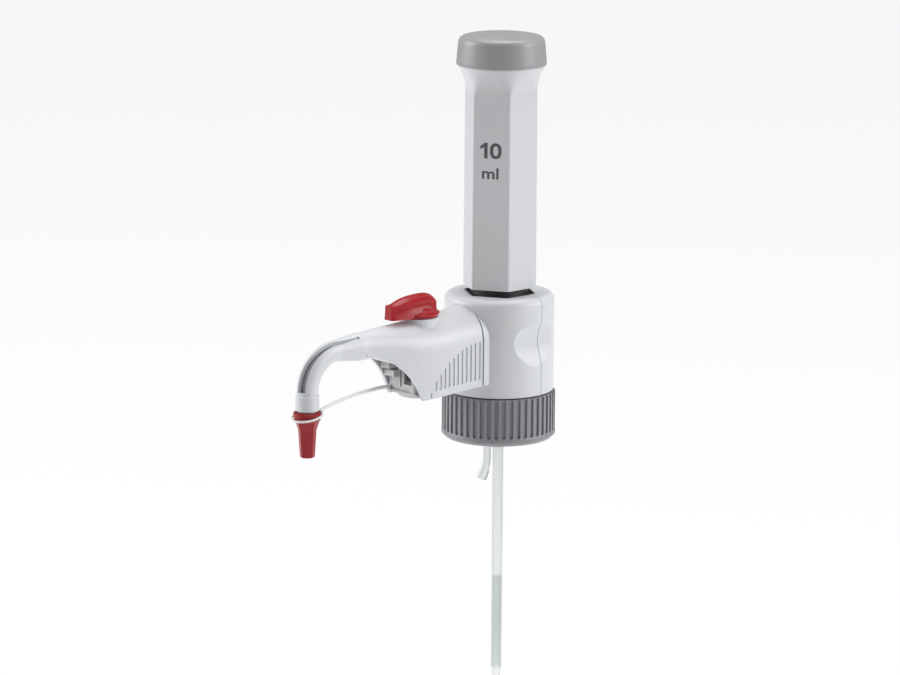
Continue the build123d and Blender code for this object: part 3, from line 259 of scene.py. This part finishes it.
# Lower housing, arm and sleeve: white moulded shells, satin outside.
# The shells meet at a fine joint line, and the arm slips on over the valve.
housing_white = moulded_plastic("housing_white", (0.63, 0.645, 0.665), 0.985, 0.36)
finish_parts(housing_white, "housing_front_shell", "housing_rear_shell")
finish_parts(housing_white, "arm_cover", "arm_floor", "tip_ferrule")
sleeve_white = moulded_plastic("sleeve_white", (0.61, 0.622, 0.642), 0.985, 0.34)
finish_parts(sleeve_white, "lift_sleeve")

# Guide ring: near-black slide bearing in the housing's six-sided opening; its near-black is partly dark
# plastic and partly painted shade for the dark recess under the sleeve. It closes the opening round the
# cylinder's sleeve.
finish_parts(moulded_plastic("guide_ring_dark_and_painted_shade", (0.035, 0.036, 0.038), 0.9, 0.5), "guide_ring")

# Capacity mark: dark grey print on one face of the sleeve, figures above and unit below.
# It is a film of ink, a few hundredths of a millimetre thick, and moves with the sleeve.
ink = moulded_plastic("print_ink", (0.085, 0.088, 0.095), 0.95, 0.45, grain=0.02)
sleeve_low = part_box("lift_sleeve")[0]
face_turn = radians(-150)
face_out = Vector((cos(face_turn), sin(face_turn), 0))
face_right = Vector((-sin(face_turn), cos(face_turn), 0))
face_foot_distance = 0.015675
face_top_distance = 0.015415
face_height = 0.0921
ink_thick = 0.00003
figure_foot_z = 0.1351
figure_height = 0.0074
stroke_width = 0.00165
thin_stroke = 0.0014025
print_middle = -0.0003


def lay_on_face(drawn):
    """Moves flat figures, drawn in x aside and y up, onto the sloping face with their thickness outwards."""
    for vert in drawn.verts:
        share = (vert.co.y - sleeve_low.z) / face_height
        wall = face_foot_distance + (face_top_distance - face_foot_distance) * share
        vert.co = face_out * (wall + vert.co.z) + face_right * vert.co.x + Vector((0, 0, vert.co.y))


figures = bmesh.new()
one_right = print_middle - 0.0014
one_left = one_right - stroke_width
flag_left = one_left - 0.0019
flag_top_left = one_left + 0.0004
flag_drop = 0.0017
flag_foot = 0.003
flag_inner = 0.0021
one_outline = (
    (one_left, 0),
    (one_right, 0),
    (one_right, figure_height),
    (flag_top_left, figure_height),
    (flag_left, figure_height - flag_drop),
    (flag_left, figure_height - flag_foot),
    (one_left, figure_height - flag_inner),
)
figures.faces.new([figures.verts.new((x, figure_foot_z + y, 0)) for x, y in one_outline])
zero_width = 0.0057
zero_right = print_middle + 0.0054
zero_middle = zero_right - zero_width / 2
zero_steps = 48
squareness = 0.85
rings = []
for half_width, half_height in (
    (zero_width / 2, figure_height / 2),
    (zero_width / 2 - stroke_width, figure_height / 2 - thin_stroke),
):
    ring = bmesh.ops.create_circle(figures, segments=zero_steps, radius=1)["verts"]
    for vert in ring:
        round_x = abs(vert.co.x) ** squareness * (1 if vert.co.x > 0 else -1)
        round_y = abs(vert.co.y) ** squareness * (1 if vert.co.y > 0 else -1)
        vert.co.x = zero_middle + half_width * round_x
        vert.co.y = figure_foot_z + figure_height / 2 + half_height * round_y
    rings.append(ring)
ring_edges = {edge for ring in rings for vert in ring for edge in vert.link_edges}
bmesh.ops.bridge_loops(figures, edges=list(ring_edges))
grown = bmesh.ops.extrude_face_region(figures, geom=figures.faces[:])
grown_verts = [item for item in grown["geom"] if isinstance(item, bmesh.types.BMVert)]
bmesh.ops.translate(figures, verts=grown_verts, vec=(0, 0, ink_thick))
lay_on_face(figures)
print_figures = add_piece("print_figures", figures, ink)
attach(print_figures, "lifter")

text = bpy.data.curves.new("print_unit", "FONT")
text.body = "ml"
text.offset = 0.02
text.extrude = 0.5
lettering = bpy.data.objects.new("unit_text", text)
bpy.context.scene.collection.objects.link(lettering)
bpy.context.view_layer.update()
unit = bmesh.new()
unit.from_mesh(bpy.data.meshes.new_from_object(lettering))
bpy.data.objects.remove(lettering)
unit_foot_z = 0.1255
unit_width = 0.0081
unit_height = 0.0053
drawn_left = min(vert.co.x for vert in unit.verts)
drawn_width = max(vert.co.x for vert in unit.verts) - drawn_left
drawn_foot = min(vert.co.y for vert in unit.verts)
drawn_height = max(vert.co.y for vert in unit.verts) - drawn_foot
for vert in unit.verts:
    vert.co.x = print_middle + ((vert.co.x - drawn_left) / drawn_width - 0.5) * unit_width
    vert.co.y = unit_foot_z + (vert.co.y - drawn_foot) / drawn_height * unit_height
    vert.co.z = (vert.co.z + 0.5) * ink_thick
lay_on_face(unit)
print_unit = add_piece("print_unit", unit, ink)
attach(print_unit, "lifter")


# Pump: borosilicate cylinder in a clear sleeve, with a fluoropolymer piston on a white rod.
# The cylinder is clamped in the block, and the rod hangs from the sleeve's deck.
def clear_material(name, colour, ior, roughness):
    """Clear material with a faint tint and a slightly uneven polish."""
    haze_scale = 120
    uneven = 0.03
    finest = 0.01
    finish = bpy.data.materials.new(name)
    finish.use_nodes = True
    nodes, links = finish.node_tree.nodes, finish.node_tree.links
    shader = nodes["Principled BSDF"]
    shader.inputs["IOR"].default_value = ior
    shader.inputs["Base Color"].default_value = (*colour, 1)
    shader.inputs["Transmission Weight"].default_value = 1
    place = nodes.new("ShaderNodeTexCoord")
    haze = nodes.new("ShaderNodeTexNoise")
    haze.inputs["Scale"].default_value = haze_scale
    links.new(place.outputs["Object"], haze.inputs["Vector"])
    spread = nodes.new("ShaderNodeMapRange")
    spread.inputs["To Min"].default_value = max(roughness - uneven, finest)
    spread.inputs["To Max"].default_value = roughness + uneven
    links.new(haze.outputs["Fac"], spread.inputs["Value"])
    links.new(spread.outputs["Result"], shader.inputs["Roughness"])
    return finish


finish_parts(clear_material("cylinder_glass", (0.95, 0.98, 0.97), 1.47, 0.03), "glass_cylinder")
finish_parts(clear_material("jacket_clear", (0.95, 0.96, 0.97), 1.49, 0.06), "cylinder_jacket")
finish_parts(moulded_plastic("rod_plastic", (0.6, 0.61, 0.6), 0.95, 0.35), "piston_rod")
fluoropolymer = moulded_plastic("fluoropolymer", (0.78, 0.78, 0.76), 0.97, 0.4)
finish_parts(fluoropolymer, "piston_head", "piston_seal", "fill_valve_body", "fill_valve_seal", "valve_plug")
finish_parts(moulded_plastic("ball_ceramic", (0.8, 0.78, 0.75), 0.97, 0.15), "fill_ball", "discharge_ball")

# Top cap: mid-grey polypropylene, pressed into the sleeve's mouth and pulled off by hand.
# Under it a nut on the rod's end sets the stroke.
finish_parts(moulded_plastic("cap_grey", (0.32, 0.325, 0.335), 0.94, 0.36), "top_cap")
finish_parts(moulded_plastic("nut_grey", (0.5, 0.5, 0.51), 0.94, 0.42), "calibration_nut")

# Tubes: translucent fluoropolymer tubes below the block and behind the valve.
# The discharge tube in the spout is drawn opaque grey: painted shade for the shadow in the slot that shows
# it.
tube_translucent = clear_material("tube_translucent", (0.93, 0.95, 0.95), 1.35, 0.35)
finish_parts(tube_translucent, "fill_tube_lower", "fill_tube_upper", "return_tube", "return_line")
finish_parts(moulded_plastic("discharge_tube_painted_shade", (0.3, 0.31, 0.33), 0.95, 0.4), "discharge_tube")

# Valve lever and spout cap: deep red polypropylene, semi-gloss.
# The lever is pressed on the plug's stem, and the cap is screwed on the ferrule.
lever_red = moulded_plastic("lever_red", (0.37, 0.013, 0.018), 0.93, 0.26, sheen=0.3)
finish_parts(lever_red, "valve_lever")
finish_parts(moulded_plastic("cap_red", (0.3, 0.016, 0.02), 0.93, 0.3, sheen=0.3), "spout_cap")

# Cap strap: one soft, milky moulding. Its ring turns round the cap's rim, and its band rises a little
# on its way to the foot under the valve, where a tab holds it.
strap_milk = moulded_plastic("strap_milk", (0.74, 0.75, 0.76), 0.97, 0.3)
finish_parts(strap_milk, "strap_ring", "strap_anchor")
band_start = Vector((-0.1095, 0, 0.0292))
band_end = Vector((-0.0621, 0.009, 0.03102))
band_bow = 0.0026
band_middle = (band_start + band_end) / 2 + Vector((0, 0, band_bow))
band_height = 0.0017
band_thick = 0.001
band_edge_r = 0.0003
band_steps = 40
band = bmesh.new()
bmesh.ops.create_grid(band, x_segments=band_steps, y_segments=1, size=0.5)
band_across = (band_end - band_start).cross(Vector((0, 0, 1))).normalized()
for vert in band.verts:
    share = vert.co.x + 0.5
    on_line = band_start * (1 - share) ** 2 + band_middle * 2 * share * (1 - share) + band_end * share**2
    vert.co = on_line + Vector((0, 0, vert.co.y * band_height)) + band_across * (band_thick / 2)
bmesh.ops.recalc_face_normals(band, faces=band.faces)
grown = bmesh.ops.extrude_face_region(band, geom=band.faces[:])
grown_verts = [item for item in grown["geom"] if isinstance(item, bmesh.types.BMVert)]
bmesh.ops.translate(band, verts=grown_verts, vec=-band_across * band_thick)
bmesh.ops.recalc_face_normals(band, faces=band.faces)
sharp = [edge for edge in band.edges if edge.calc_face_angle(0) > radians(60)]
bmesh.ops.bevel(band, geom=sharp, offset=band_edge_r, segments=3, profile=0.5, affect="EDGES", material=-1)
for face in band.faces:
    face.smooth = True
cap_band = add_piece("cap_band", band, strap_milk)
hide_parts("cap_strap")
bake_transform(cap_band)
